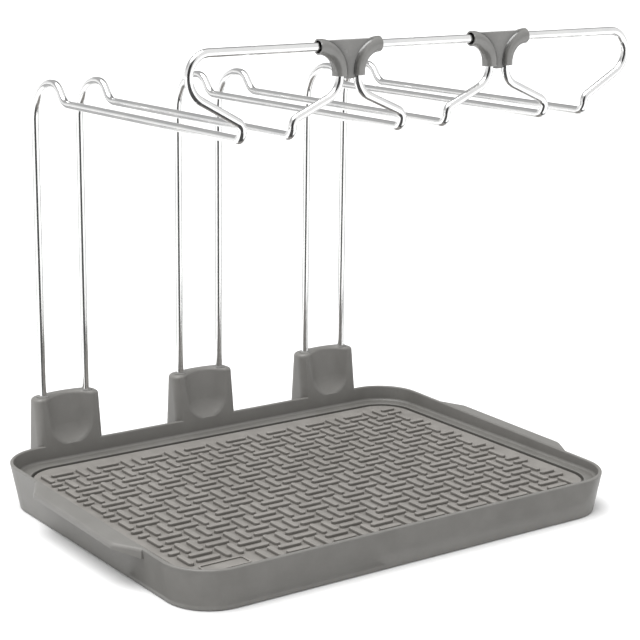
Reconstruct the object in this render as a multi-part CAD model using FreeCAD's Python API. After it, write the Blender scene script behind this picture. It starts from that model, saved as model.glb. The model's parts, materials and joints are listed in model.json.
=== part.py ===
import FreeCAD, Part
import math
import os

from FreeCAD import Vector

os.makedirs("parts", exist_ok=True)

# Bottle and glass drying rack: a flared tray with a ribbed mat, three leg sockets moulded into
# its rear wall, and three bent wire frames joined by two clamped connectors at the front.
# Millimetres. X runs along the long side, +Y to the rear, +Z up.
# The parts are laid out from the centre of the tray, on the surface the feet stand on. They are
# then moved along Y, so that the origin is under the middle of the whole footprint.

# ---- tray ----
rim_length = 400.0        # outside, along X, at the rim
rim_depth = 306.0         # outside, along Y, at the rim
rim_height = 35.0         # mean height of the rim
rim_rise = 2.9            # the rim is this much higher at the rear wall and lower at the front
rim_corner = 37.5         # plan radius at the rim
base_corner = 35.5        # plan radius at the foot of the walls
side_flare = 6.0          # how far each end wall leans out between foot and rim
end_flare = 4.6           # the same for the front and rear walls
wall = 3.0
join = 0.8                # how far added parts reach into the wall
rim_round = 1.1
lip_round = 0.6           # inner edge of the ledge
skirt_gap = 0.8           # clearance between the skirt and the surface
floor_top = 22.0          # top of the tray floor, which stands well above the table
floor_thick = 2.8
ledge_top = 25.0          # ledge around the mat, at the foot of the inner walls
ledge_round = 2.4         # fillet between the inner walls and the ledge
pocket_half = 186.5       # half length of the recess that holds the mat
pocket_front = -140.5
pocket_rear = 137.5
pocket_corner = 29.0

# ---- mat ----
mat_gap = 2.0             # gap between mat and ledge
mat_lift = 0.3            # gap between mat and tray floor
mat_thick = 1.4
mat_round = 0.5
column_pitch = 20.57      # width of one square of the rib pattern
row_pitch = 21.42         # and its depth
first_column = -159.5     # centre of the first whole square at the left
last_row = 108.6          # centre of the rear row
whole_columns = 16
rows = 12
bar_width = 4.4
bar_length = 19.4
left_bar_length = 9.1     # ribs of the half squares at the left edge
right_bar_length = 14.0   # and of the part squares at the right edge
right_square = 16.0       # width of a part square
bar_height = 2.4
bar_round = 0.7
sink = 0.3                # how far ribs and frame start inside the plate
blank_left = -173.5       # plain rectangular frame at the front left corner of the mat
blank_front = -133.0
blank_length = 37.0
blank_depth = 14.0
blank_line = 1.2
blank_height = 0.9
blank_corner = 3.0

# ---- handles ----
handle_reach = 12.0       # how far the flange stands out from the rim
handle_drop = 0.6         # fall from the rim to the outer edge
handle_flat = 124.0       # length of the outer edge
handle_root = 168.0       # length along the rim
handle_centre = -4.0      # both handles sit a little in front of the middle
handle_thick = 4.4
handle_gusset = 3.6       # extra depth at the root
handle_corner = 7.0
handle_round = 2.6

# ---- leg sockets ----
frame_pitch = 130.5       # spacing of the three frames along X
leg_spacing = 39.3        # between the two legs of a frame
leg_line = 164.0          # Y of all six legs
socket_top = 77.5         # height at the middle of the crowned top
socket_crown = 250.0      # radius of the crown along X
socket_half_top = 29.4
socket_half_base = 29.0
socket_rear_top = 172.4
socket_rear_base = 180.6
socket_corner = 8.0
socket_round = 2.8
dish_radius = 30.0
dish_depth = 6.4          # at the centre of the round lower end
dish_centre = 58.5        # height of that centre
dish_lean = 5.0           # degrees by which the scoop gets deeper upwards
dish_round = 4.0          # blend between scoop and front face
core_length = 22.0        # hollow inside each socket, open below, between the legs
core_depth = 6.6
core_front = 164.2
core_top = 70.0
well_clearance = 0.4
well_floor = 12.0

# ---- wire ----
wire = 6.0                # diameter
leg_foot_gap = 0.4
lean_start = 92.0         # the legs lean slightly forward from here up
leg_lean = 0.9            # degrees
lean_radius = 200.0
arch_height = 336.0
arch_radius = 32.0
arch_front = 119.8        # Y where the arch turns down
drop_radius = 14.0
rail_height = 322.0
rail_rear = 108.0         # Y where the drop meets the rail
loop_line = -145.0        # Y of the upright front loops
rail_end_radius = 6.0
shoulder_height = 332.5
shoulder_radius = 6.5
bar_top = 380.0
loop_corner = 17.5        # bend inside a connector
outer_corner = 15.0       # bend at a free end
inner_reach = 58.0        # half width of a loop towards a connector
inner_angle = 23.8        # slope of the shoulder, degrees
inner_radius = 16.0
outer_reach = 59.5        # half width of a loop towards a free end
outer_angle = 28.7
outer_radius = 18.0

# ---- grommets ----
grommet_flange = 10.4
grommet_flange_height = 1.0
grommet_round = 0.4
grommet_sleeve = 9.2
grommet_length = 6.0
seat_height = 76.2        # flat seat sunk into the crown around each leg
seat_diameter = 10.6
running_clearance = 0.075
seat_clearance = 0.03

# ---- connectors ----
connector_half = 25.0     # from the middle to each open end
connector_foot = 360.0
connector_tube = 10.8
connector_groove_gap = 0.05
end_bore = 8.6
end_bore_depth = 3.0
web_thick = 5.0
web_top = 384.0
web_half_top = 21.0
web_half_foot = 2.6
web_foot = 358.0
screw_height = 377.0
screw_diameter = 3.0
screw_head = 5.4
screw_head_height = 1.8
screw_head_round = 0.7
screw_head_lift = 0.02    # gap under the head
screw_length = 4.0        # below the head
screw_tip_gap = 0.1
slot_length = 3.4
slot_width = 0.9
slot_depth = 0.8

# ---- feet and underside ----
foot_diameter = 13.0
foot_height = 2.3
foot_round = 0.5
foot_recess = 1.5         # depth of the seat in the boss
foot_gap = 0.05           # around the foot in its seat
foot_x = 165.0
foot_y = 118.0
boss_diameter = 19.0
rib_thick = 2.0
rib_join = 0.5            # how far ribs reach into floor and wall
rib_foot = 5.0
rib_columns = 5
rib_rows = 3

# ---- derived ----
rim_tilt = math.degrees(math.atan2(2 * rim_rise, rim_depth))
side_slope = side_flare / rim_height
end_slope = end_flare / rim_height
overshoot = 60.0
tall = socket_top + 12.0
footprint_shift = (rim_depth / 2 - end_slope * rim_rise - socket_rear_base) / 2
frame_centres = [-frame_pitch, 0.0, frame_pitch]
mid = frame_pitch / 2


def rounded_wire(length, depth, radius, z, shift_y=0.0):
    """Closed rounded rectangle in the plane at height z."""
    hx = length / 2
    hy = depth / 2
    s = radius * math.sqrt(0.5)
    corners = [(hx, hy, 1, 1), (-hx, hy, -1, 1), (-hx, -hy, -1, -1), (hx, -hy, 1, -1)]
    arcs = []
    for x, y, sx, sy in corners:
        cx = x - sx * radius
        cy = y - sy * radius + shift_y
        along_x = Vector(x, cy, z)
        along_y = Vector(cx, y + shift_y, z)
        middle = Vector(cx + sx * s, cy + sy * s, z)
        first, last = (along_x, along_y) if sx * sy > 0 else (along_y, along_x)
        arcs.append((first, middle, last))
    edges = []
    for i, (first, middle, last) in enumerate(arcs):
        edges.append(Part.Arc(first, middle, last).toShape())
        edges.append(Part.makeLine(last, arcs[(i + 1) % 4][0]))
    return Part.Wire(edges)


def rounded_prism(length, depth, radius, z_low, z_high, shift_y=0.0):
    face = Part.Face(rounded_wire(length, depth, radius, z_low, shift_y))
    return face.extrude(Vector(0, 0, z_high - z_low))


def flared_solid(inset, z_low, z_high):
    """Body of the tray moved inwards by inset, between two heights.
    Its walls keep the same slope at every height."""
    wires = []
    for z in (z_low, z_high):
        length = rim_length - 2 * inset + 2 * side_slope * (z - rim_height)
        depth = rim_depth - 2 * inset + 2 * end_slope * (z - rim_height)
        part = z / rim_height
        radius = base_corner + (rim_corner - base_corner) * part - inset
        wires.append(rounded_wire(length, depth, radius, z))
    return Part.makeLoft(wires, True, True)


def rim_cutter():
    """Everything above the tilted plane of the rim."""
    box = Part.makeBox(2 * rim_length, 2 * rim_depth, 2 * tall, Vector(-rim_length, -rim_depth, 0))
    box.rotate(Vector(0, 0, 0), Vector(1, 0, 0), rim_tilt)
    box.translate(Vector(0, 0, rim_height))
    return box


def cylinder(diameter, z_low, z_high, x, y):
    return Part.makeCylinder(diameter / 2, z_high - z_low, Vector(x, y, z_low))


def leg_positions():
    """X of the six legs from left to right."""
    out = []
    for centre in frame_centres:
        out.append(centre - leg_spacing / 2)
        out.append(centre + leg_spacing / 2)
    return out


def inner_face_y(z):
    """Y of the inside face of the rear wall at height z."""
    return rim_depth / 2 - wall + end_slope * (z - rim_height)


def socket_blank(centre):
    """Drafted block around one pair of legs, flush in front with the inner wall face."""
    wires = []
    levels = [
        (skirt_gap, socket_half_base, socket_rear_base),
        (socket_top + join, socket_half_top, socket_rear_top),
    ]
    for z, half, rear in levels:
        front = inner_face_y(z) - join
        outline = rounded_wire(2 * half, rear - front, socket_corner, z, (rear + front) / 2)
        outline.translate(Vector(centre, 0, 0))
        wires.append(outline)
    return Part.makeLoft(wires, True, True)


def crown_tool(centre):
    """Barrel along Y whose upper side is the crowned top of a socket."""
    start = Vector(centre, 0, socket_top - socket_crown)
    return Part.makeCylinder(socket_crown, 2 * leg_line, start, Vector(0, 1, 0))


def dish(centre):
    """Round-bottomed scoop in the front face of a socket, deeper towards the top."""
    face = inner_face_y(dish_centre)
    axis_y = face - (dish_radius - dish_depth)
    point = Vector(centre, axis_y, dish_centre)
    ball = Part.makeSphere(dish_radius, point)
    column = Part.makeCylinder(dish_radius, overshoot, point)
    tool = ball.fuse(column)
    lean = math.degrees(math.atan(end_slope)) + dish_lean
    tool.rotate(point, Vector(1, 0, 0), -lean)
    return tool


def is_round(face, radius):
    """Whether a face is part of a ball or barrel of this radius."""
    return hasattr(face.Surface, "Radius") and abs(face.Surface.Radius - radius) < 0.01


def on_any(edge, faces):
    return any(edge.isSame(other) for face in faces for other in face.Edges)


def socket(centre):
    """One leg socket with its crowned top, its scoop and all its rounded edges."""
    block = socket_blank(centre).common(crown_tool(centre))
    block = block.cut(flared_solid(wall, ledge_top, tall))
    block = block.cut(dish(centre))
    scoop = [face for face in block.Faces if is_round(face, dish_radius)]
    front = [face for face in block.Faces if not hasattr(face.Surface, "Radius")]
    mouth = [e for face in scoop for e in face.Edges if on_any(e, front)]
    block = block.makeFillet(dish_round, mouth)
    crown_low = socket_top - socket_half_top ** 2 / (2 * socket_crown) - socket_round / 10
    top_edges = [e for e in block.Edges if e.BoundBox.ZMin > crown_low]
    return block.makeFillet(socket_round, top_edges)


def handle(side):
    """Tapered flange outside one end wall; side is -1 for left, +1 for right."""
    edge = rim_length / 2
    root = edge - wall
    tip = edge + handle_reach
    top_root = handle_drop / handle_reach * wall
    section = [
        Vector(root, 0, top_root),
        Vector(tip, 0, -handle_drop),
        Vector(tip, 0, -handle_drop - handle_thick),
        Vector(root, 0, -handle_thick - handle_gusset),
    ]
    profile = Part.Face(Part.makePolygon(section + [section[0]]))
    profile.translate(Vector(0, handle_centre - handle_root, 0))
    bar = profile.extrude(Vector(0, 2 * handle_root, 0))
    plan = [
        Vector(root, handle_centre - handle_root / 2 - 1.0, 0),
        Vector(edge, handle_centre - handle_root / 2, 0),
        Vector(tip, handle_centre - handle_flat / 2, 0),
        Vector(tip, handle_centre + handle_flat / 2, 0),
        Vector(edge, handle_centre + handle_root / 2, 0),
        Vector(root, handle_centre + handle_root / 2 + 1.0, 0),
    ]
    plate = Part.Face(Part.makePolygon(plan + [plan[0]]))
    plate.translate(Vector(0, 0, -overshoot / 2))
    flange = bar.common(plate.extrude(Vector(0, 0, overshoot)))
    corners = []
    for e in flange.Edges:
        box = e.BoundBox
        if box.XLength < 0.01 and box.YLength < 0.01 and box.XMin > tip - 0.01:
            corners.append(e)
    flange = flange.makeFillet(handle_corner, corners)
    upper = max(flange.Faces, key=lambda face: face.CenterOfMass.z)
    rounded = [e for e in upper.Edges if e.BoundBox.XMax > edge + 1.0]
    flange = flange.makeFillet(handle_round, rounded)
    if side < 0:
        flange = flange.mirror(Vector(0, 0, 0), Vector(1, 0, 0))
    flange.rotate(Vector(0, 0, 0), Vector(1, 0, 0), rim_tilt)
    flange.translate(Vector(0, 0, rim_height))
    return flange


def underside_ribs():
    """Stiffening ribs under the floor, and the bosses that carry the feet."""
    depth = floor_top - floor_thick + rib_join - rib_foot
    room = flared_solid(wall - rib_join, 0.0, floor_top)
    ribs = []
    for i in range(rib_columns):
        x = (i - (rib_columns - 1) / 2) * rim_length / (rib_columns + 1)
        start = Vector(x - rib_thick / 2, -rim_depth / 2, rib_foot)
        ribs.append(Part.makeBox(rib_thick, rim_depth, depth, start))
    for i in range(rib_rows):
        y = (i - (rib_rows - 1) / 2) * rim_depth / (rib_rows + 1)
        start = Vector(-rim_length / 2, y - rib_thick / 2, rib_foot)
        ribs.append(Part.makeBox(rim_length, rib_thick, depth, start))
    for x in (-foot_x, foot_x):
        for y in (-foot_y, foot_y):
            ribs.append(cylinder(boss_diameter, skirt_gap, rib_foot + depth, x, y))
    grid = ribs[0].multiFuse(ribs[1:])
    return grid.common(room)


def tray_shell():
    """Walls, ledge, floor and hollow underside, with rounded rim and wall foot."""
    body = flared_solid(0.0, skirt_gap, 2 * rim_height)
    body = body.cut(rim_cutter())
    body = body.cut(flared_solid(wall, ledge_top, tall))
    foot_edges = []
    for e in body.Edges:
        box = e.BoundBox
        if box.ZMin > ledge_top - 0.01 and box.ZMax < ledge_top + 0.01:
            foot_edges.append(e)
    body = body.makeFillet(ledge_round, foot_edges)
    rim = max(body.Faces, key=lambda face: face.CenterOfMass.z)
    body = body.makeFillet(rim_round, rim.Edges)
    body = body.cut(flared_solid(wall, 0.0, floor_top - floor_thick))
    pocket = rounded_prism(2 * pocket_half, pocket_rear - pocket_front, pocket_corner,
                           floor_top, ledge_top + 1.0, (pocket_rear + pocket_front) / 2)
    body = body.cut(pocket)
    lip = []
    for e in body.Edges:
        box = e.BoundBox
        flat = box.ZMin > ledge_top - 0.01 and box.ZMax < ledge_top + 0.01
        if flat and box.XMax < pocket_half + 0.1 and box.XMin > -pocket_half - 0.1:
            if box.YMax < pocket_rear + 0.1 and box.YMin > pocket_front - 0.1:
                lip.append(e)
    return body.makeFillet(lip_round, lip)


def make_tray():
    """The whole moulding, with sockets, handles, leg wells, seats and foot recesses."""
    body = tray_shell()
    parts = [underside_ribs()]
    for centre in frame_centres:
        parts.append(socket(centre))
    for side in (-1, 1):
        parts.append(handle(side).cut(flared_solid(wall - join, 0.0, tall)))
    for part in parts:
        body = body.fuse(part)
    for centre in frame_centres:
        start = Vector(centre - core_length / 2, core_front, 0.0)
        body = body.cut(Part.makeBox(core_length, core_depth, core_top, start))
    for x in leg_positions():
        body = body.cut(cylinder(wire + 2 * well_clearance, well_floor, tall, x, leg_line))
        seat = grommet_sleeve + 2 * seat_clearance
        body = body.cut(cylinder(seat, socket_top - grommet_length, tall, x, leg_line))
        body = body.cut(cylinder(seat_diameter, seat_height, tall, x, leg_line))
    for x in (-foot_x, foot_x):
        for y in (-foot_y, foot_y):
            body = body.cut(cylinder(foot_diameter + 2 * foot_gap, 0.0, skirt_gap + foot_recess, x, y))
    return body.removeSplitter()


def one_bar(length):
    """Raised rib along X, centred on the origin, with rounded ends and a softened top edge."""
    r = bar_width / 2
    half = length / 2 - r
    edges = [
        Part.makeLine(Vector(-half, -r, 0), Vector(half, -r, 0)),
        Part.Arc(Vector(half, -r, 0), Vector(half + r, 0, 0), Vector(half, r, 0)).toShape(),
        Part.makeLine(Vector(half, r, 0), Vector(-half, r, 0)),
        Part.Arc(Vector(-half, r, 0), Vector(-half - r, 0, 0), Vector(-half, -r, 0)).toShape(),
    ]
    base = Part.Face(Part.Wire(edges))
    base.translate(Vector(0, 0, -sink))
    solid = base.extrude(Vector(0, 0, bar_height + sink))
    top = [e for e in solid.Edges if e.BoundBox.ZMin > bar_height - 0.01]
    return solid.makeFillet(bar_round, top)


def mat_bars(z):
    """The basket-weave ribs: pairs along X alternate with pairs along Y."""
    whole = one_bar(bar_length)
    left = one_bar(left_bar_length)
    right = one_bar(right_bar_length)
    bars = []

    def place(bar, x, y, turn):
        copy = bar.copy()
        copy.rotate(Vector(0, 0, 0), Vector(0, 0, 1), turn)
        copy.translate(Vector(x, y, z))
        bars.append(copy)

    for row in range(rows):
        y = last_row - row_pitch * row
        for column in range(-1, whole_columns + 1):
            x = first_column + column_pitch * column
            along = whole
            shifts = (-column_pitch / 4, column_pitch / 4)
            if column < 0:
                along = left
                shifts = (0.0,)
                x = first_column - column_pitch * 0.75
            if column == whole_columns:
                along = right
                shifts = (column_pitch / 4 - right_square / 2,)
                x = first_column + column_pitch * (whole_columns - 0.5) + right_square / 2
            if row == rows - 1 and x < blank_left + blank_length + bar_length / 2:
                continue
            if (row + column) % 2 == 0:
                place(along, x, y - row_pitch / 4, 0)
                place(along, x, y + row_pitch / 4, 0)
            else:
                for shift in shifts:
                    place(whole, x + shift, y, 90)
    return bars


def make_mat():
    low = floor_top + mat_lift
    high = low + mat_thick
    front = pocket_front + mat_gap
    rear = pocket_rear - mat_gap
    plate = rounded_prism(2 * (pocket_half - mat_gap), rear - front, pocket_corner - mat_gap,
                          low, high, (rear + front) / 2)
    top = [e for e in plate.Edges if e.BoundBox.ZMin > high - 0.01]
    plate = plate.makeFillet(mat_round, top)
    outer = rounded_prism(blank_length, blank_depth, blank_corner, high - sink, high + blank_height)
    inner = rounded_prism(blank_length - 2 * blank_line, blank_depth - 2 * blank_line,
                          blank_corner - blank_line, high - 2 * sink, high + 2 * blank_height)
    frame = outer.cut(inner)
    frame.translate(Vector(blank_left + blank_length / 2, blank_front + blank_depth / 2, 0))
    return plate.multiFuse(mat_bars(high) + [frame])


def bent_path(corners):
    """Wire through corner points; each corner is (point, bend radius)."""
    edges = []
    start = corners[0][0]
    for i in range(1, len(corners) - 1):
        point, radius = corners[i]
        before = (corners[i - 1][0] - point).normalize()
        after = (corners[i + 1][0] - point).normalize()
        angle = before.getAngle(after)
        run = radius / math.tan(angle / 2)
        first = point + before * run
        last = point + after * run
        bisector = (before + after).normalize()
        centre = point + bisector * (radius / math.sin(angle / 2))
        middle = centre - bisector * radius
        if (first - start).Length > 0.001:
            edges.append(Part.makeLine(start, first))
        edges.append(Part.Arc(first, middle, last).toShape())
        start = last
    edges.append(Part.makeLine(start, corners[-1][0]))
    return Part.Wire(edges)


def sweep_round(corners, diameter):
    path = bent_path(corners)
    direction = (corners[1][0] - corners[0][0]).normalize()
    circle = Part.Wire(Part.makeCircle(diameter / 2, corners[0][0], direction))
    return path.makePipeShell([circle], True, False)


def half_loop(centre, side, outer):
    """Corner list from the foot of one leg to the middle of the top bar."""
    x = centre + side * leg_spacing / 2
    reach = outer_reach if outer else inner_reach
    slope = math.radians(outer_angle if outer else inner_angle)
    knee = outer_radius if outer else inner_radius
    corner = outer_corner if outer else loop_corner
    far = centre + side * reach
    rise = (reach - leg_spacing / 2) * math.tan(slope)
    arch_rear = leg_line - (arch_height - lean_start) * math.tan(math.radians(leg_lean))
    return [
        (Vector(x, leg_line, well_floor + leg_foot_gap), 0),
        (Vector(x, leg_line, lean_start), lean_radius),
        (Vector(x, arch_rear, arch_height), arch_radius),
        (Vector(x, arch_front, arch_height), drop_radius),
        (Vector(x, rail_rear, rail_height), drop_radius),
        (Vector(x, loop_line, rail_height), rail_end_radius),
        (Vector(x, loop_line, shoulder_height), shoulder_radius),
        (Vector(far, loop_line, shoulder_height + rise), knee),
        (Vector(far, loop_line, bar_top), corner),
    ]


def make_frame(centre, left_outer, right_outer):
    left = half_loop(centre, -1, left_outer)
    right = half_loop(centre, 1, right_outer)
    return sweep_round(left + right[::-1], wire)


def connector_paths(centre, extend):
    """Centre lines of the two quarter bends that meet in one connector."""
    paths = []
    for side in (-1, 1):
        x = centre + side * (frame_pitch / 2 - inner_reach)
        end = centre + side * (connector_half + extend)
        paths.append([
            (Vector(end, loop_line, bar_top), 0),
            (Vector(x, loop_line, bar_top), loop_corner),
            (Vector(x, loop_line, connector_foot - extend), 0),
        ])
    return paths


def connector_block(centre):
    """Both halves of a connector as one solid, before it is split."""
    tubes = [sweep_round(p, connector_tube) for p in connector_paths(centre, 0.0)]
    corners = [
        Vector(centre - web_half_top, loop_line - web_thick / 2, web_top),
        Vector(centre + web_half_top, loop_line - web_thick / 2, web_top),
        Vector(centre + web_half_foot, loop_line - web_thick / 2, web_foot),
        Vector(centre - web_half_foot, loop_line - web_thick / 2, web_foot),
    ]
    web = Part.Face(Part.makePolygon(corners + [corners[0]])).extrude(Vector(0, web_thick, 0))
    block = tubes[0].fuse(tubes[1])
    block = block.fuse(web)
    for path in connector_paths(centre, end_bore_depth):
        block = block.cut(sweep_round(path, wire + 2 * connector_groove_gap))
    for side in (-1, 1):
        start = Vector(centre + side * (connector_half - end_bore_depth), loop_line, bar_top)
        block = block.cut(Part.makeCylinder(end_bore / 2, 2 * end_bore_depth, start, Vector(side, 0, 0)))
    return block


def connector_shells(centre):
    """Front and rear shell, with the blind hole for their screw."""
    block = connector_block(centre)
    size = 2 * overshoot
    low = bar_top - overshoot
    front_half = Part.makeBox(size, overshoot, size, Vector(centre - overshoot, loop_line - overshoot, low))
    rear_half = Part.makeBox(size, overshoot, size, Vector(centre - overshoot, loop_line, low))
    start = Vector(centre, loop_line + web_thick / 2 + screw_tip_gap, screw_height)
    hole = Part.makeCylinder(screw_diameter / 2 + seat_clearance, screw_length + 2 * screw_tip_gap,
                             start, Vector(0, -1, 0))
    return block.common(front_half).cut(hole), block.common(rear_half).cut(hole)


def connector_screw(centre):
    """Pan head screw with a cross slot, driven in from the rear."""
    under_head = loop_line + web_thick / 2 + screw_head_lift
    top = under_head + screw_head_height
    shank = Part.makeCylinder(screw_diameter / 2, screw_length + screw_head_height / 2,
                              Vector(centre, under_head + screw_head_height / 2, screw_height),
                              Vector(0, -1, 0))
    head = Part.makeCylinder(screw_head / 2, screw_head_height,
                             Vector(centre, under_head, screw_height), Vector(0, 1, 0))
    outer_edge = [e for e in head.Edges if e.BoundBox.YMin > top - 0.01]
    head = head.makeFillet(screw_head_round, outer_edge)
    screw = shank.fuse(head)
    for turn in (0, 90):
        slot = Part.makeBox(slot_length, 2 * slot_depth, slot_width,
                            Vector(-slot_length / 2, -slot_depth, -slot_width / 2))
        slot.rotate(Vector(0, 0, 0), Vector(0, 1, 0), turn)
        slot.translate(Vector(centre, top, screw_height))
        screw = screw.cut(slot)
    return screw


def make_grommet(x):
    low = socket_top - grommet_length + seat_clearance
    top = seat_height + grommet_flange_height
    sleeve = cylinder(grommet_sleeve, low, top - grommet_flange_height / 2, x, leg_line)
    flange = cylinder(grommet_flange, seat_height + seat_clearance, top, x, leg_line)
    edge = [e for e in flange.Edges if e.BoundBox.ZMin > top - 0.01]
    flange = flange.makeFillet(grommet_round, edge)
    bore = cylinder(wire + 2 * running_clearance, low - 1.0, tall, x, leg_line)
    return sleeve.fuse(flange).cut(bore)


def make_foot(x, y):
    foot = cylinder(foot_diameter, 0.0, foot_height, x, y)
    rim = [e for e in foot.Edges if e.BoundBox.ZMax < 0.01]
    return foot.makeFillet(foot_round, rim)


def save(name, shape):
    shape.translate(Vector(0, footprint_shift, 0))
    shape.exportStep("parts/" + name + ".step")


save("tray", make_tray())
save("drying_mat", make_mat())

for name, x, y in (
    ("foot_front_left", -foot_x, -foot_y),
    ("foot_front_right", foot_x, -foot_y),
    ("foot_rear_left", -foot_x, foot_y),
    ("foot_rear_right", foot_x, foot_y),
):
    save(name, make_foot(x, y))

save("wire_frame_left", make_frame(frame_centres[0], True, False))
save("wire_frame_centre", make_frame(frame_centres[1], False, False))
save("wire_frame_right", make_frame(frame_centres[2], False, True))

for name, centre in (("connector_left", -mid), ("connector_right", mid)):
    front, rear = connector_shells(centre)
    save(name + "_front_shell", front)
    save(name + "_rear_shell", rear)
    save(name + "_screw", connector_screw(centre))

grommet_names = [
    "grommet_left_frame_left_leg",
    "grommet_left_frame_right_leg",
    "grommet_centre_frame_left_leg",
    "grommet_centre_frame_right_leg",
    "grommet_right_frame_left_leg",
    "grommet_right_frame_right_leg",
]
for name, x in zip(grommet_names, leg_positions()):
    save(name, make_grommet(x))
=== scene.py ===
import json
import math

import bpy
from mathutils import Matrix, Vector


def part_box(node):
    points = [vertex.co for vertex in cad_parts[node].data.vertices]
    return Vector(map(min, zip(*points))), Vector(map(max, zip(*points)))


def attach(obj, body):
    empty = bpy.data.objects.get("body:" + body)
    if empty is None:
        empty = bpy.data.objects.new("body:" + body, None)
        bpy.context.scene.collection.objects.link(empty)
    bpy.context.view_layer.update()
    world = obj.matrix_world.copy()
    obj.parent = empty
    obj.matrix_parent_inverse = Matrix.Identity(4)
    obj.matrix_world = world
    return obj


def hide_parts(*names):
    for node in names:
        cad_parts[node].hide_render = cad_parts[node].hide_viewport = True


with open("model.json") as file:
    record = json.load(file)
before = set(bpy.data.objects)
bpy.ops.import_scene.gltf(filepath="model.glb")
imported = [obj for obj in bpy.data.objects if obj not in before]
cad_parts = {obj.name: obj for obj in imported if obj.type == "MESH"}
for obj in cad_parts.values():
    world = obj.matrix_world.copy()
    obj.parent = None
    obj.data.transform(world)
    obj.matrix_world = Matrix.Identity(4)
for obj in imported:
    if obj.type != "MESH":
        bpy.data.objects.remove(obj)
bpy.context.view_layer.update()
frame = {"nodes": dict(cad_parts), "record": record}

MM = 0.001

# ---------------------------------------------------------------- material helpers

NOISE_SPAN = (0.3, 0.7)     # where most values of a noise lie
EDGE_SPAN = (0.90, 0.995)   # softened normal times true normal, on an edge and on a flat
OPEN_SKY = 0.93             # from this share of open sky on, a surface counts as lying in no hollow and gets no painted shade


class Nodes:
    """A material with one Principled shader, and short ways to build the nodes that feed it."""

    def __init__(self, name):
        self.material = bpy.data.materials.new(name)
        self.material.use_nodes = True
        self.tree = self.material.node_tree
        self.tree.nodes.clear()
        out = self.add("ShaderNodeOutputMaterial")
        self.shader = self.add("ShaderNodeBsdfPrincipled")
        self.tree.links.new(self.shader.outputs["BSDF"], out.inputs["Surface"])

    def add(self, kind, **values):
        node = self.tree.nodes.new(kind)
        for key, value in values.items():
            setattr(node, key, value)
        return node

    def feed(self, name, socket):
        """Link a socket to one of the shader's inputs."""
        self.tree.links.new(socket, self.shader.inputs[name])

    def fix(self, name, value):
        """Set one of the shader's inputs to a constant."""
        self.shader.inputs[name].default_value = value

    def coords(self, kind="Object", scale=(1, 1, 1)):
        """Coordinates in metres, stretched by the scale."""
        place = self.add("ShaderNodeTexCoord")
        mapping = self.add("ShaderNodeMapping")
        mapping.inputs["Scale"].default_value = scale
        self.tree.links.new(place.outputs[kind], mapping.inputs["Vector"])
        return mapping.outputs["Vector"]

    def noise(self, vector, scale, detail=3.0, roughness=0.5):
        """Noise with about `scale` features to the metre."""
        node = self.add("ShaderNodeTexNoise")
        node.inputs["Scale"].default_value = scale
        node.inputs["Detail"].default_value = detail
        node.inputs["Roughness"].default_value = roughness
        self.tree.links.new(vector, node.inputs["Vector"])
        return node.outputs["Fac"]

    def remap(self, socket, low, high, span=(0.0, 1.0)):
        """The part of a value that lies in the span, stretched to run from low to high."""
        node = self.add("ShaderNodeMapRange")
        node.inputs["From Min"].default_value = span[0]
        node.inputs["From Max"].default_value = span[1]
        node.inputs["To Min"].default_value = low
        node.inputs["To Max"].default_value = high
        self.tree.links.new(socket, node.inputs["Value"])
        return node.outputs["Result"]

    def plug(self, socket, value):
        """Link a value that is a socket, or set one that is a number or a colour."""
        if isinstance(value, (int, float, tuple)):
            socket.default_value = value
        else:
            self.tree.links.new(value, socket)

    def math(self, operation, a, b):
        node = self.add("ShaderNodeMath", operation=operation)
        self.plug(node.inputs[0], a)
        self.plug(node.inputs[1], b)
        return node.outputs["Value"]

    def mix(self, factor, a, b):
        """Colour a at factor 0, b at factor 1."""
        node = self.add("ShaderNodeMix", data_type="RGBA")
        self.plug(node.inputs[0], factor)
        self.plug(node.inputs[6], a)
        self.plug(node.inputs[7], b)
        return node.outputs[2]

    def bump(self, height, strength, distance, after=None):
        """Relief of the given depth, laid over an earlier one if there is one."""
        node = self.add("ShaderNodeBump")
        node.inputs["Strength"].default_value = strength
        node.inputs["Distance"].default_value = distance
        self.tree.links.new(height, node.inputs["Height"])
        if after is not None:
            self.tree.links.new(after, node.inputs["Normal"])
        return node.outputs["Normal"]

    def edge_mask(self, radius):
        """1 on convex and concave edges, 0 on flats."""
        bevel = self.add("ShaderNodeBevel")
        bevel.samples = 4
        bevel.inputs["Radius"].default_value = radius
        geometry = self.add("ShaderNodeNewGeometry")
        dot = self.add("ShaderNodeVectorMath", operation="DOT_PRODUCT")
        self.tree.links.new(bevel.outputs["Normal"], dot.inputs[0])
        self.tree.links.new(geometry.outputs["Normal"], dot.inputs[1])
        return self.remap(dot.outputs["Value"], 1.0, 0.0, EDGE_SPAN)

    def open_sky(self, distance):
        """1 in the open, falling towards 0 in hollows of the same piece within the distance."""
        node = self.add("ShaderNodeAmbientOcclusion", only_local=True)
        node.samples = 6
        node.inputs["Distance"].default_value = distance
        return node.outputs["AO"]


def rgb(r, g, b):
    return (r, g, b, 1.0)


# ---------------------------------------------------------------- materials


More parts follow.
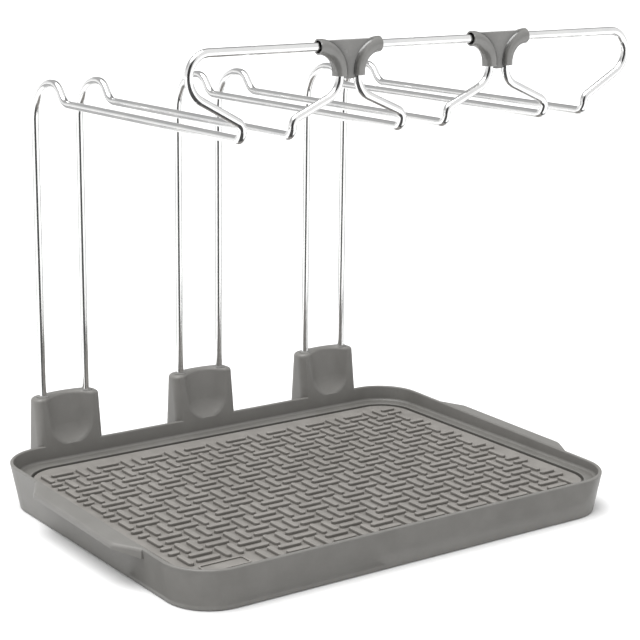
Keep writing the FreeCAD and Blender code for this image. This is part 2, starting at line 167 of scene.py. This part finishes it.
def moulded_plastic(name, colour, dark, light, crevice, painted_shade_strength, deep, shade=0.45,
                    rough=0.42, grain=0.10, wear_and_highlight=0.35, gloss=0.42):
    """Satin moulded plastic: spark-eroded texture, slow colour drift, paler and smoother edges, painted
    shade in hollows.

    Hollows narrower than `crevice` get painted shade: their colour goes towards `dark` times `shade`. The
    strength of that painted shade is `painted_shade_strength` where less than `deep` of the sky is open.
    `wear_and_highlight` is how far edges turn to the light colour, partly as wear and partly as a painted
    highlight.
    """
    n = Nodes(name)
    space = n.coords()
    drift = n.noise(space, 9.0)
    cloud = n.noise(space, 60.0, 4.0, 0.6)
    texture = n.noise(space, 2100.0, 3.0, 0.55)
    pores = n.noise(space, 5200.0, 1.0)
    base = n.mix(n.remap(drift, 0.0, 1.0, NOISE_SPAN), dark, colour)
    base = n.mix(n.remap(cloud, 0.0, 0.35, (0.4, 0.75)), base, light)
    base = n.mix(n.remap(texture, 0.0, 0.12, (0.45, 0.8)), base, light)
    # Edges turn paler, partly as wear and partly as a painted highlight.
    edge = n.edge_mask(0.9 * MM)
    base = n.mix(n.math("MULTIPLY", edge, wear_and_highlight), base, light)
    # Painted shade: where the same piece closes round a point (ambient occlusion), the colour is painted
    # darker.
    painted_shade_mask = n.remap(n.open_sky(crevice), painted_shade_strength, 0.0, (deep, OPEN_SKY))
    painted_shade_colour = rgb(dark[0] * shade, dark[1] * shade * 0.97, dark[2] * shade * 0.93)
    n.feed("Base Color", n.mix(painted_shade_mask, base, painted_shade_colour))
    uneven = n.remap(cloud, rough - 0.05, rough + 0.07, NOISE_SPAN)
    polish = n.math("MULTIPLY", edge, -0.08)
    n.feed("Roughness", n.math("ADD", uneven, polish))
    relief = n.bump(texture, grain, 0.12 * MM)
    n.feed("Normal", n.bump(pores, grain * 0.6, 0.05 * MM, relief))
    n.fix("Specular IOR Level", gloss)
    return n.material


def polished_wire(name):
    """Drawn and polished stainless wire: fine lines along it, faint haze and water marks."""
    n = Nodes(name)
    along = n.coords("UV", (12.0, 1400.0, 1.0))
    lines = n.noise(along, 4.0, 4.0, 0.6)
    space = n.coords()
    haze = n.noise(space, 45.0, 3.0, 0.55)
    spots = n.noise(space, 420.0, 2.0)
    steel = n.mix(n.remap(haze, 0.0, 1.0, NOISE_SPAN), rgb(0.76, 0.762, 0.765), rgb(0.83, 0.828, 0.82))
    spotted = n.mix(n.remap(spots, 0.0, 0.25, (0.6, 0.8)), steel, rgb(0.70, 0.695, 0.68))
    n.feed("Base Color", spotted)
    n.fix("Metallic", 1.0)
    hazy = n.remap(haze, 0.09, 0.16, NOISE_SPAN)
    drawn = n.remap(lines, -0.02, 0.05, NOISE_SPAN)
    n.feed("Roughness", n.math("ADD", hazy, drawn))
    n.feed("Normal", n.bump(lines, 0.08, 0.02 * MM))
    return n.material


def soft_rubber(name, colour, light):
    """Matt rubber with a faint bloom and a soft grain."""
    n = Nodes(name)
    space = n.coords()
    bloom = n.noise(space, 160.0, 4.0, 0.6)
    grain = n.noise(space, 1800.0)
    base = n.mix(n.remap(bloom, 0.0, 1.0, (0.35, 0.75)), colour, light)
    rubbed = n.math("MULTIPLY", n.edge_mask(0.4 * MM), 0.3)
    n.feed("Base Color", n.mix(rubbed, base, light))
    n.feed("Roughness", n.remap(bloom, 0.62, 0.82, NOISE_SPAN))
    n.feed("Normal", n.bump(grain, 0.18, 0.08 * MM))
    return n.material


def plain_steel(name):
    """Zinc-plated screw steel with fine turning marks."""
    n = Nodes(name)
    space = n.coords()
    marks = n.noise(space, 2600.0, 2.0)
    cloud = n.noise(space, 500.0)
    plating = n.mix(n.remap(cloud, 0.0, 1.0, NOISE_SPAN), rgb(0.42, 0.42, 0.42), rgb(0.58, 0.58, 0.57))
    n.feed("Base Color", plating)
    n.fix("Metallic", 1.0)
    n.feed("Roughness", n.remap(marks, 0.24, 0.42, NOISE_SPAN))
    n.feed("Normal", n.bump(marks, 0.12, 0.05 * MM))
    return n.material


by_slot = {
    # The tray gets painted shade in its fillets, finger dishes and the foot of its walls.
    "tray_plastic": moulded_plastic(
        "tray_plastic", rgb(0.160, 0.156, 0.147), rgb(0.146, 0.142, 0.133), rgb(0.205, 0.201, 0.190),
        crevice=24.0 * MM, painted_shade_strength=0.85, deep=0.52),
    # The mat gets painted shade between its ribs and, besides edge wear, a painted highlight on its rib
    # edges and tops.
    "mat_plastic": moulded_plastic(
        "mat_plastic", rgb(0.196, 0.186, 0.174), rgb(0.174, 0.165, 0.153), rgb(0.300, 0.286, 0.268),
        crevice=3.5 * MM, painted_shade_strength=0.9, deep=0.40, rough=0.50, wear_and_highlight=0.85),
    # The connectors get a strong, nearly black painted shade in the grooves beside their tubes, and paler
    # edges partly as a painted highlight.
    "connector_plastic": moulded_plastic(
        "connector_plastic", rgb(0.132, 0.130, 0.123), rgb(0.118, 0.116, 0.110), rgb(0.235, 0.232, 0.223),
        crevice=9.0 * MM, painted_shade_strength=1.0, deep=0.80, shade=0.12, rough=0.22, grain=0.05, wear_and_highlight=0.6, gloss=1.0),
    "wire_steel": polished_wire("wire_steel"),
    "grommet_rubber": soft_rubber("grommet_rubber", rgb(0.16, 0.157, 0.150), rgb(0.22, 0.216, 0.208)),
    "foot_rubber": soft_rubber("foot_rubber", rgb(0.030, 0.030, 0.031), rgb(0.062, 0.062, 0.062)),
    "screw_steel": plain_steel("screw_steel"),
}
for entry in frame["record"]["subparts"]:
    node = frame["nodes"][entry["node"]]
    node.data.materials.clear()
    node.data.materials.append(by_slot[entry["material_slot"]])

# ---------------------------------------------------------------- wire frames

RADIUS = 3.0 * MM
FRAME_PITCH = 130.5 * MM
LEG_HALF = 19.65 * MM           # half of the distance between a frame's two legs
LEAN_START = 92.0 * MM          # the legs are upright below this height and lean forward above it
LEG_LEAN = math.radians(0.9)
LEAN_RADIUS = 200.0 * MM
ARCH_HEIGHT = 336.0 * MM
ARCH_RADIUS = 32.0 * MM
ARCH_FRONT = 44.2 * MM          # from the foot of a leg forward to where the arch turns down
DROP_RADIUS = 14.0 * MM
RAIL_HEIGHT = 322.0 * MM
RAIL_REAR = 56.0 * MM           # from the foot of a leg forward to where the rail starts
RAIL_END = 6.0 * MM
SHOULDER_HEIGHT = 332.5 * MM
SHOULDER_RADIUS = 6.5 * MM
INNER_SLOPE = math.radians(23.8)
INNER_KNEE = 16.0 * MM
INNER_CORNER = 17.5 * MM
OUTER_SLOPE = math.radians(28.7)
OUTER_KNEE = 17.7 * MM
OUTER_CORNER = 15.0 * MM
END_CHAMFER = 0.6 * MM
SEAM_OFFSET = 11.0 * MM         # the ground weld in each top bar, left of the frame's middle
SEAM_REACH = 0.1 * MM           # how far off the wire's line the weld may lie
SEAM_PROFILE = ((-1.4, 0.0), (-0.7, 0.10), (0.0, 0.17), (0.7, 0.10), (1.4, 0.0))  # (along, deep) in mm
STEPS_PER_RADIAN = 14
FEWEST_STEPS = 6
LONGEST_STEP = 12.0 * MM
SAME_POINT = 0.0001 * MM
WIRE_SIDES = 32


def bend_points(corners):
    """Points along a run of straights and tangent arcs; corners are (point, bend radius)."""
    points = [corners[0][0]]
    for i in range(1, len(corners) - 1):
        point, radius = corners[i]
        before = (corners[i - 1][0] - point).normalized()
        after = (corners[i + 1][0] - point).normalized()
        angle = before.angle(after)
        run = radius / math.tan(angle / 2)
        bisector = (before + after).normalized()
        centre = point + bisector * (radius / math.sin(angle / 2))
        start = point + before * run - centre
        turn = math.pi - angle
        axis = before.cross(after).normalized()
        steps = max(FEWEST_STEPS, int(turn * STEPS_PER_RADIAN))
        for k in range(steps + 1):
            points.append(centre + Matrix.Rotation(-turn * k / steps, 3, axis) @ start)
    points.append(corners[-1][0])
    return points


def divided(points):
    """The same line with its long straights divided, so that shading stays even."""
    out = [points[0]]
    for a, b in zip(points, points[1:]):
        length = (b - a).length
        if length < SAME_POINT:
            continue
        parts = max(1, math.ceil(length / LONGEST_STEP))
        for k in range(1, parts + 1):
            out.append(a.lerp(b, k / parts))
    return out


def seamed(line, seam):
    """(point, radius) along the wire: chamfered ends, and the weld as a shallow groove round it."""
    rings = []
    for a, b in zip(line, line[1:]):
        rings.append((a, RADIUS))
        along = (b - a).normalized()
        reach = (seam - a).dot(along)
        off_line = (seam - a - along * reach).length
        if off_line < SEAM_REACH and 0.0 <= reach < (b - a).length:
            for step, depth in SEAM_PROFILE:
                rings.append((seam + along * step * MM, RADIUS - depth * MM))
    rings.append((line[-1], RADIUS))
    start = (rings[1][0] - rings[0][0]).normalized()
    finish = (rings[-1][0] - rings[-2][0]).normalized()
    rings[0] = (rings[0][0] + start * END_CHAMFER, RADIUS)
    rings[-1] = (rings[-1][0] - finish * END_CHAMFER, RADIUS)
    rings.insert(0, (rings[0][0] - start * END_CHAMFER, RADIUS - END_CHAMFER))
    rings.append((rings[-1][0] + finish * END_CHAMFER, RADIUS - END_CHAMFER))
    return rings


def tube_mesh(name, rings):
    """Round bar through (point, radius) rings, with UVs in metres: U along the wire, V around it."""
    verts = []
    marks = []
    travelled = 0.0
    side = (rings[1][0] - rings[0][0]).orthogonal().normalized()
    last = len(rings) - 1
    for i, (point, radius) in enumerate(rings):
        before = rings[max(i - 1, 0)][0]
        after = rings[min(i + 1, last)][0]
        travelled += (point - before).length
        marks.append(travelled)
        tangent = (after - before).normalized()
        side = (side - tangent * side.dot(tangent)).normalized()
        up = tangent.cross(side)
        for k in range(WIRE_SIDES):
            a = 2 * math.pi * k / WIRE_SIDES
            verts.append(point + (side * math.cos(a) + up * math.sin(a)) * radius)
    faces = []
    uvs = []
    around = 2 * math.pi * RADIUS / WIRE_SIDES
    for i in range(last):
        here = i * WIRE_SIDES
        there = here + WIRE_SIDES
        for k in range(WIRE_SIDES):
            j = (k + 1) % WIRE_SIDES
            faces.append((here + k, here + j, there + j, there + k))
            uvs += [(marks[i], k * around), (marks[i], (k + 1) * around),
                    (marks[i + 1], (k + 1) * around), (marks[i + 1], k * around)]
    faces.append(tuple(reversed(range(WIRE_SIDES))))
    faces.append(tuple(last * WIRE_SIDES + k for k in range(WIRE_SIDES)))
    uvs += [(0.0, 0.0)] * WIRE_SIDES + [(travelled, 0.0)] * WIRE_SIDES
    mesh = bpy.data.meshes.new(name)
    mesh.from_pydata([tuple(v) for v in verts], [], faces)
    layer = mesh.uv_layers.new(name="UVMap")
    for item, uv in zip(layer.data, uvs):
        item.uv = uv
    for polygon in mesh.polygons:
        polygon.use_smooth = len(polygon.vertices) == 4
    mesh.update()
    piece = bpy.data.objects.new(name, mesh)
    bpy.context.scene.collection.objects.link(piece)
    return piece


def half_frame(centre, side, outer, low, high):
    """Corners from the foot of a leg to the middle of the top bar; an outer half ends in no connector."""
    leg_y = high.y - RADIUS
    loop_y = low.y + RADIUS
    x = centre + side * LEG_HALF
    far = high.x - RADIUS if side > 0 else low.x + RADIUS
    slope = OUTER_SLOPE if outer else INNER_SLOPE
    knee = OUTER_KNEE if outer else INNER_KNEE
    corner = OUTER_CORNER if outer else INNER_CORNER
    arch_rear = leg_y - (ARCH_HEIGHT - LEAN_START) * math.tan(LEG_LEAN)
    rise = (abs(far - centre) - LEG_HALF) * math.tan(slope)
    return [
        (Vector((x, leg_y, low.z)), 0.0),
        (Vector((x, leg_y, LEAN_START)), LEAN_RADIUS),
        (Vector((x, arch_rear, ARCH_HEIGHT)), ARCH_RADIUS),
        (Vector((x, leg_y - ARCH_FRONT, ARCH_HEIGHT)), DROP_RADIUS),
        (Vector((x, leg_y - RAIL_REAR, RAIL_HEIGHT)), DROP_RADIUS),
        (Vector((x, loop_y, RAIL_HEIGHT)), RAIL_END),
        (Vector((x, loop_y, SHOULDER_HEIGHT)), SHOULDER_RADIUS),
        (Vector((far, loop_y, SHOULDER_HEIGHT + rise)), knee),
        (Vector((far, loop_y, high.z - RADIUS)), corner),
    ]


for node_name, row in (("wire_frame_left", -1), ("wire_frame_centre", 0), ("wire_frame_right", 1)):
    centre = row * FRAME_PITCH
    low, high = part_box(node_name)
    left = half_frame(centre, -1, row == -1, low, high)
    right = half_frame(centre, 1, row == 1, low, high)
    line = divided(bend_points(left + right[::-1]))
    seam = Vector((centre - SEAM_OFFSET, low.y + RADIUS, high.z - RADIUS))
    piece = tube_mesh(node_name + ".polished", seamed(line, seam))
    piece.data.materials.append(by_slot["wire_steel"])
    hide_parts(node_name)
    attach(piece, "rack")

# ---------------------------------------------------------------- floor and light

FLOOR_HALF = 14.0
WALL_LEVEL = 1.2
# Where the room darkens, as (none, full) along one axis of the direction looked in.
CEILING_DROP = 0.58
CEILING_REAR = (0.05, 0.35)
CEILING_RISE = (0.22, 0.42)
CORNER_DROP = 0.3
CORNER_RIGHT = (0.15, 0.45)
CORNER_REAR = (0.25, 0.5)
CORNER_RISE = (0.08, 0.2)
SOFTBOX_STRENGTH = 3.5
SOFTBOX_SPREAD = math.radians(50.0)
SOFTBOX_FROM = Vector((-0.28, 0.05, 1.0))


def stage_floor():
    """Wide sheet of white paper with a faint fibre."""
    n = Nodes("floor_paper")
    fibre = n.noise(n.coords(), 700.0)
    n.feed("Base Color", n.mix(n.remap(fibre, 0.0, 1.0), rgb(0.80, 0.80, 0.80), rgb(0.82, 0.82, 0.82)))
    n.fix("Roughness", 0.9)
    n.fix("Specular IOR Level", 0.1)
    mesh = bpy.data.meshes.new("floor")
    corners = [(x * FLOOR_HALF, y * FLOOR_HALF, 0.0) for x, y in ((-1, -1), (1, -1), (1, 1), (-1, 1))]
    mesh.from_pydata(corners, [], [(0, 1, 2, 3)])
    mesh.materials.append(n.material)
    floor = bpy.data.objects.new("floor", mesh)
    bpy.context.scene.collection.objects.link(floor)


def studio_world():
    """White walls all round, a greyer ceiling behind the object and a dim corner at the rear right."""
    world = bpy.data.worlds.new("studio")
    world.use_nodes = True
    tree = world.node_tree
    tree.nodes.clear()
    place = tree.nodes.new("ShaderNodeTexCoord")
    axes = tree.nodes.new("ShaderNodeSeparateXYZ")
    tree.links.new(place.outputs["Generated"], axes.inputs["Vector"])

    def ramp(axis, span, value=1.0):
        node = tree.nodes.new("ShaderNodeMapRange")
        node.interpolation_type = "SMOOTHSTEP"
        node.inputs["From Min"].default_value = span[0]
        node.inputs["From Max"].default_value = span[1]
        node.inputs["To Max"].default_value = value
        tree.links.new(axes.outputs[axis], node.inputs["Value"])
        return node.outputs["Result"]

    def combine(operation, a, b):
        node = tree.nodes.new("ShaderNodeMath")
        node.operation = operation
        for socket, value in zip(node.inputs, (a, b)):
            if isinstance(value, float):
                socket.default_value = value
            else:
                tree.links.new(value, socket)
        return node.outputs["Value"]

    ceiling = combine("MULTIPLY", ramp("Y", CEILING_REAR), ramp("Z", CEILING_RISE, CEILING_DROP))
    corner = combine("MULTIPLY", ramp("X", CORNER_RIGHT), ramp("Y", CORNER_REAR))
    corner = combine("MULTIPLY", corner, ramp("Z", CORNER_RISE, CORNER_DROP))
    level = combine("SUBTRACT", WALL_LEVEL, combine("ADD", ceiling, corner))
    background = tree.nodes.new("ShaderNodeBackground")
    out = tree.nodes.new("ShaderNodeOutputWorld")
    tree.links.new(level, background.inputs["Strength"])
    tree.links.new(background.outputs["Background"], out.inputs["Surface"])
    bpy.context.scene.world = world


def overhead_light():
    """A wide, far softbox high on the left; its spread keeps every shadow soft."""
    light = bpy.data.lights.new("softbox", "SUN")
    light.energy = SOFTBOX_STRENGTH
    light.angle = SOFTBOX_SPREAD
    holder = bpy.data.objects.new("softbox", light)
    holder.rotation_euler = SOFTBOX_FROM.to_track_quat("Z", "Y").to_euler()
    bpy.context.scene.collection.objects.link(holder)


stage_floor()
studio_world()
overhead_light()

# ---------------------------------------------------------------- camera

# Front left of the rack, a little higher than its top bars, with a long lens.
AZIMUTH = math.radians(-34.72)
ELEVATION = math.radians(13.467)
ROLL = math.radians(0.125)
DISTANCE = 1.4016
AIM_RIGHT = 0.0124
AIM_DEEP = 0.1590               # behind the tray's front edge
AIM_HEIGHT = 0.15
LENS = 99.495                   # in mm, like the sensor's width
SENSOR = 36.0
SHIFT_X = 0.008375
SHIFT_Y = 0.000875
CLIP_END = 60.0

tray_low, tray_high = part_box("tray")
flat = math.cos(ELEVATION)
back = Vector((math.sin(AZIMUTH) * flat, -math.cos(AZIMUTH) * flat, math.sin(ELEVATION)))
to_camera = Vector((back.x, back.y, 0.0)).normalized()


def aim_camera():
    """Stand the camera along `back` from the aim point and turn it by the roll."""
    right = Vector((math.cos(AZIMUTH), math.sin(AZIMUTH), 0.0))
    up = back.cross(right)
    turned_right = right * math.cos(ROLL) + up * math.sin(ROLL)
    turned_up = up * math.cos(ROLL) - right * math.sin(ROLL)
    place = Vector((AIM_RIGHT, tray_low.y + AIM_DEEP, AIM_HEIGHT)) + back * DISTANCE
    data = bpy.data.cameras.new("camera")
    data.sensor_width = SENSOR
    data.lens = LENS
    data.shift_x = SHIFT_X
    data.shift_y = SHIFT_Y
    data.clip_end = CLIP_END
    camera = bpy.data.objects.new("camera", data)
    camera.matrix_world = Matrix((
        (turned_right.x, turned_up.x, back.x, place.x),
        (turned_right.y, turned_up.y, back.y, place.y),
        (turned_right.z, turned_up.z, back.z, place.z),
        (0.0, 0.0, 0.0, 1.0),
    ))
    bpy.context.scene.collection.objects.link(camera)
    return camera


bpy.context.scene.camera = aim_camera()
bpy.context.scene.view_settings.view_transform = "Standard"
bpy.context.scene.view_settings.look = "None"

# ---------------------------------------------------------------- cards that the polished wire mirrors

CARD_MIDDLE = Vector((0.0, tray_high.y - 12 * MM, 4 * MM))
CARD_FAR = 2.6
FRONT_NEAR = 0.30
SIDE_NEAR = 0.36
UPRIGHT_HEIGHT = 2.1
FRONT_TONE = 0.05
SIDE_TONE = 0.30
UPRIGHT_TONE = 0.04
STRIP_TONE = 0.05
STRIP_LEFT = -0.25
STRIP_RIGHT = 0.50
STRIP_NEAR = tray_low.y - 110 * MM
STRIP_FAR = tray_low.y - 5 * MM
STRIP_HEIGHT = 5 * MM
RING_STEPS = 12


def ring_segment(inner, outer, start, finish):
    """Outline of part of a ring on the floor; angles in degrees count from the camera's side."""
    facing = math.atan2(to_camera.y, to_camera.x)
    spokes = []
    for k in range(RING_STEPS + 1):
        a = facing + math.radians(start + (finish - start) * k / RING_STEPS)
        spokes.append(Vector((math.cos(a), math.sin(a), 0.0)))
    return [CARD_MIDDLE + s * outer for s in spokes] + [CARD_MIDDLE + s * inner for s in reversed(spokes)]


def upright(start, finish):
    """Outline of a card that stands on the floor; angles count as in ring_segment."""
    turns = [Matrix.Rotation(math.radians(a), 3, "Z") for a in (start, finish)]
    feet = [CARD_MIDDLE + (turn @ to_camera) * CARD_FAR for turn in turns]
    rise = Vector((0.0, 0.0, UPRIGHT_HEIGHT))
    return [feet[0], feet[1], feet[1] + rise, feet[0] + rise]


def reflector_card(name, outline, tone):
    """A dull card that only polished surfaces see."""
    n = Nodes(name)
    n.fix("Base Color", rgb(tone, tone, tone))
    n.fix("Roughness", 1.0)
    n.fix("Specular IOR Level", 0.0)
    mesh = bpy.data.meshes.new(name)
    mesh.from_pydata([tuple(p) for p in outline], [], [tuple(range(len(outline)))])
    mesh.materials.append(n.material)
    card = bpy.data.objects.new(name, mesh)
    bpy.context.scene.collection.objects.link(card)
    card.visible_camera = False
    card.visible_diffuse = False
    card.visible_shadow = False
    card.visible_transmission = False


reflector_card("card_front", ring_segment(FRONT_NEAR, CARD_FAR, -29.0, 29.0), FRONT_TONE)
reflector_card("card_left", ring_segment(SIDE_NEAR, CARD_FAR, -152.0, -102.0), SIDE_TONE)
reflector_card("card_right", ring_segment(SIDE_NEAR, CARD_FAR, 102.0, 152.0), SIDE_TONE)
reflector_card("card_upright", upright(-27.0, 29.0), UPRIGHT_TONE)
reflector_card("card_strip", [Vector((x, y, STRIP_HEIGHT)) for x, y in (
    (STRIP_LEFT, STRIP_NEAR), (STRIP_RIGHT, STRIP_NEAR), (STRIP_RIGHT, STRIP_FAR), (STRIP_LEFT, STRIP_FAR))],
    STRIP_TONE)
